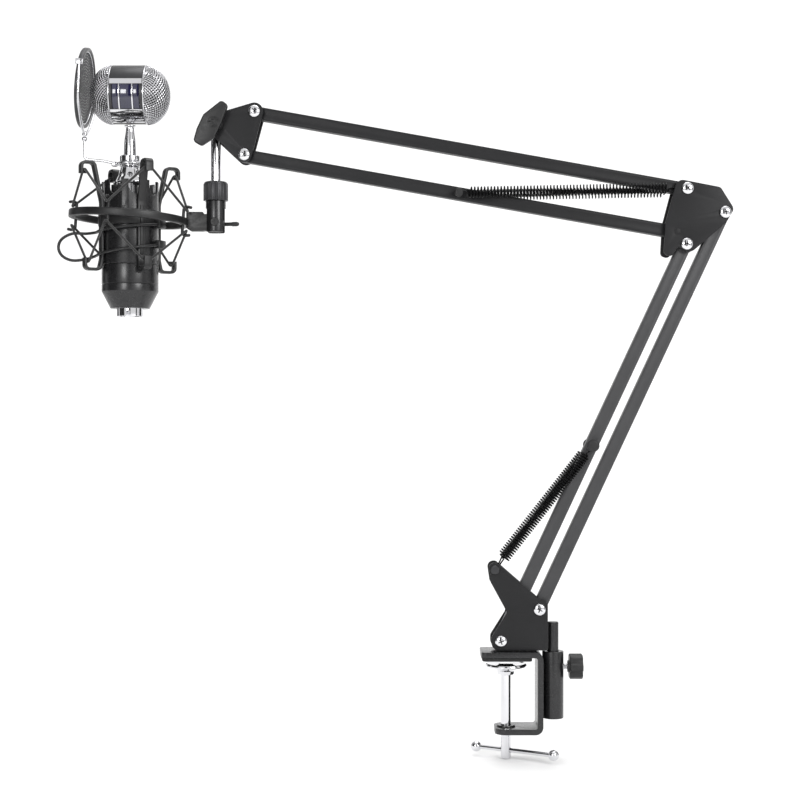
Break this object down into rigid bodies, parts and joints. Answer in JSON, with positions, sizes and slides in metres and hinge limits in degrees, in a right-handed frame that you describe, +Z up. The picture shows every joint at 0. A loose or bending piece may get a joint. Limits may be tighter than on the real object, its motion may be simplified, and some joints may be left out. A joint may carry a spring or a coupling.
{
  "type": "condenser microphone",
  "caption": "Condenser microphone with ball head, pop filter and elastic shock mount, hung from a spring-balanced scissor arm on a desk clamp.",
  "frame": {"origin": "centre of the underside of the upper jaw's rubber pad, on the clamp screw's axis", "axes": "+Z up, +X from the microphone towards the clamp's lock knob, so the arm lies in the XZ plane, +Y away from the wing knob"},
  "size_m": [0.5354, 0.1006, 0.5653],
  "materials": {
    "satin_black": "satin black lacquer",
    "arm_black": "semi-matt black powder coat",
    "black_plastic": "moulded black plastic",
    "dark_metal": "dark gunmetal finish",
    "rubber": "matt black rubber",
    "elastic_cord": "braided black elastic",
    "chrome": "polished chrome plate",
    "spring_black": "blackened spring steel",
    "silver_mesh": "bright woven wire",
    "silver_wire": "bright wire",
    "filter_mesh": "fine grey gauze",
    "window": "glossy blue-black",
    "board": "green solder mask",
    "brass": "gold-plated brass"
  },
  "bodies": {
    "clamp": {"clamp_frame": "satin_black", "clamp_tube": "satin_black", "jaw_pad": "rubber"},
    "pad_disc": {"clamp_pad_disc": "chrome"},
    "clamp_screw": {"clamp_screw": "chrome"},
    "tommy_bar": {"tommy_bar": "chrome"},
    "lock_knob": {"lock_screw": "chrome", "lock_knob": "black_plastic"},
    "base": {"base_bracket": "arm_black", "base_pin": "satin_black", "base_spring_pin": "dark_metal", "base_bolt_inner": "chrome", "base_bolt_outer": "chrome", "lower_spring_front": "spring_black", "lower_spring_rear": "spring_black"},
    "lower_inner": {"lower_inner_bar": "arm_black", "lower_spring_stud": "black_plastic"},
    "lower_outer": {"lower_outer_bar": "arm_black"},
    "elbow": {"elbow_plate_front": "arm_black", "elbow_plate_rear": "arm_black", "elbow_bolt_top": "chrome", "elbow_bolt_outer": "chrome", "elbow_bolt_inner": "chrome", "elbow_rivet": "arm_black", "upper_spring_front": "spring_black", "upper_spring_rear": "spring_black"},
    "upper_top": {"upper_top_bar": "arm_black"},
    "upper_bottom": {"upper_bottom_bar": "arm_black", "upper_spring_stud": "black_plastic"},
    "head": {"head_plate_front": "arm_black", "head_plate_rear": "arm_black", "head_bolt_top": "chrome", "head_bolt_bottom": "chrome"},
    "wing_knob": {"wing_knob": "black_plastic"},
    "mic_pin": {"mic_pin": "chrome"},
    "socket": {"mount_socket": "satin_black"},
    "collar_nut": {"collar_nut": "dark_metal"},
    "tilt_lever": {"tilt_lever": "black_plastic"},
    "ring": {"mount_ring": "black_plastic", "elastic_upper": "elastic_cord", "elastic_lower": "elastic_cord"},
    "cage": {"mount_cage": "black_plastic", "wire_clip": "spring_black", "mic_body": "satin_black", "mic_tail": "satin_black", "xlr_shell": "chrome", "xlr_insert": "black_plastic", "mic_board": "board", "neck_skirt": "chrome", "neck_collar": "chrome", "neck": "chrome", "head_band": "dark_metal", "head_window": "window", "grille_left": "silver_mesh", "grille_right": "silver_mesh", "capsule": "brass"},
    "pop_arm": {"pop_wire": "silver_wire"},
    "pop_filter": {"pop_rim": "dark_metal", "pop_mesh": "filter_mesh", "pop_fork": "silver_wire"}
  },
  "joints": [
    {"name": "clamp_lift", "type": "slide", "parent": "clamp", "child": "pad_disc", "axis": [0, 0, 1], "range_m": [-0.04, 0.002]},
    {"name": "clamp_screw_turn", "type": "hinge", "parent": "pad_disc", "child": "clamp_screw", "pos_m": [0, 0, -0.04], "axis": [0, 0, 1], "range_deg": [-9500, 450]},
    {"name": "tommy_bar_slide", "type": "slide", "parent": "clamp_screw", "child": "tommy_bar", "axis": [0.8704, -0.4924, 0], "range_m": [-0.032, 0.0175]},
    {"name": "lock_knob_turn", "type": "hinge", "parent": "clamp", "child": "lock_knob", "pos_m": [0.05, 0, -0.0058], "axis": [1, 0, 0], "range_deg": [0, 1080]},
    {"name": "base_swivel", "type": "hinge", "parent": "clamp", "child": "base", "pos_m": [0.0374, 0, 0], "axis": [0, 0, 1], "continuous": true},
    {"name": "lower_arm_tilt", "type": "hinge", "parent": "base", "child": "lower_inner", "pos_m": [-0.0045, 0, 0.0153], "axis": [0, 1, 0], "range_deg": [-20, 9], "deforming": ["lower_spring_front", "lower_spring_rear"]},
    {"name": "lower_outer_follow", "type": "hinge", "parent": "base", "child": "lower_outer", "pos_m": [0.026, 0, 0.0405], "axis": [0, 1, 0], "range_deg": [-20, 9]},
    {"name": "elbow_level", "type": "hinge", "parent": "lower_inner", "child": "elbow", "pos_m": [0.14242, 0, 0.32966], "axis": [0, 1, 0], "range_deg": [-9, 20]},
    {"name": "upper_arm_tilt", "type": "hinge", "parent": "elbow", "child": "upper_top", "pos_m": [0.1431, 0, 0.3736], "axis": [0, 1, 0], "range_deg": [-40, 45], "deforming": ["upper_spring_front", "upper_spring_rear"]},
    {"name": "upper_bottom_follow", "type": "hinge", "parent": "elbow", "child": "upper_bottom", "pos_m": [0.135, 0, 0.3395], "axis": [0, 1, 0], "range_deg": [-40, 45]},
    {"name": "head_level", "type": "hinge", "parent": "upper_top", "child": "head", "pos_m": [-0.19954, 0, 0.43445], "axis": [0, 1, 0], "range_deg": [-45, 40]},
    {"name": "wing_knob_turn", "type": "hinge", "parent": "head", "child": "wing_knob", "pos_m": [-0.231, 0, 0.4245], "axis": [0, -1, 0], "range_deg": [0, 720]},
    {"name": "mic_pin_tilt", "type": "hinge", "parent": "head", "child": "mic_pin", "pos_m": [-0.231, 0, 0.4245], "axis": [0, 1, 0], "range_deg": [-25, 75]},
    {"name": "socket_turn", "type": "hinge", "parent": "mic_pin", "child": "socket", "pos_m": [-0.231, 0, 0.3644], "axis": [0, 0, 1], "range_deg": [-90, 90]},
    {"name": "collar_nut_turn", "type": "hinge", "parent": "socket", "child": "collar_nut", "pos_m": [-0.231, 0, 0.372], "axis": [0, 0, 1], "range_deg": [0, 720]},
    {"name": "ring_tilt", "type": "hinge", "parent": "socket", "child": "ring", "pos_m": [-0.231, 0, 0.3473], "axis": [0, 1, 0], "range_deg": [-40, 8]},
    {"name": "tilt_lever_turn", "type": "hinge", "parent": "socket", "child": "tilt_lever", "pos_m": [-0.231, 0, 0.3473], "axis": [0, 1, 0], "range_deg": [-30, 60]},
    {"name": "cage_float", "type": "slide", "parent": "ring", "child": "cage", "axis": [0, 0, 1], "range_m": [-0.003, 0.003], "stiffness_N_per_m": 5000, "springref_m": 0.0007, "deforming": ["elastic_upper", "elastic_lower"]},
    {"name": "pop_arm_swing", "type": "hinge", "parent": "cage", "child": "pop_arm", "pos_m": [-0.2992, 0, 0.394], "axis": [0, 0, 1], "range_deg": [-75, 75]},
    {"name": "pop_filter_tilt", "type": "hinge", "parent": "pop_arm", "child": "pop_filter", "pos_m": [-0.3355, 0, 0.414], "axis": [0, 1, 0], "range_deg": [-50, 0]}
  ],
  "couplings": [
    {"joint": "clamp_lift", "follows": "clamp_screw_turn", "m_per_rad": 0.00023873},
    {"joint": "lower_outer_follow", "follows": "lower_arm_tilt", "ratio": 1},
    {"joint": "elbow_level", "follows": "lower_arm_tilt", "ratio": -1},
    {"joint": "upper_bottom_follow", "follows": "upper_arm_tilt", "ratio": 1},
    {"joint": "head_level", "follows": "upper_arm_tilt", "ratio": -1}
  ]
}
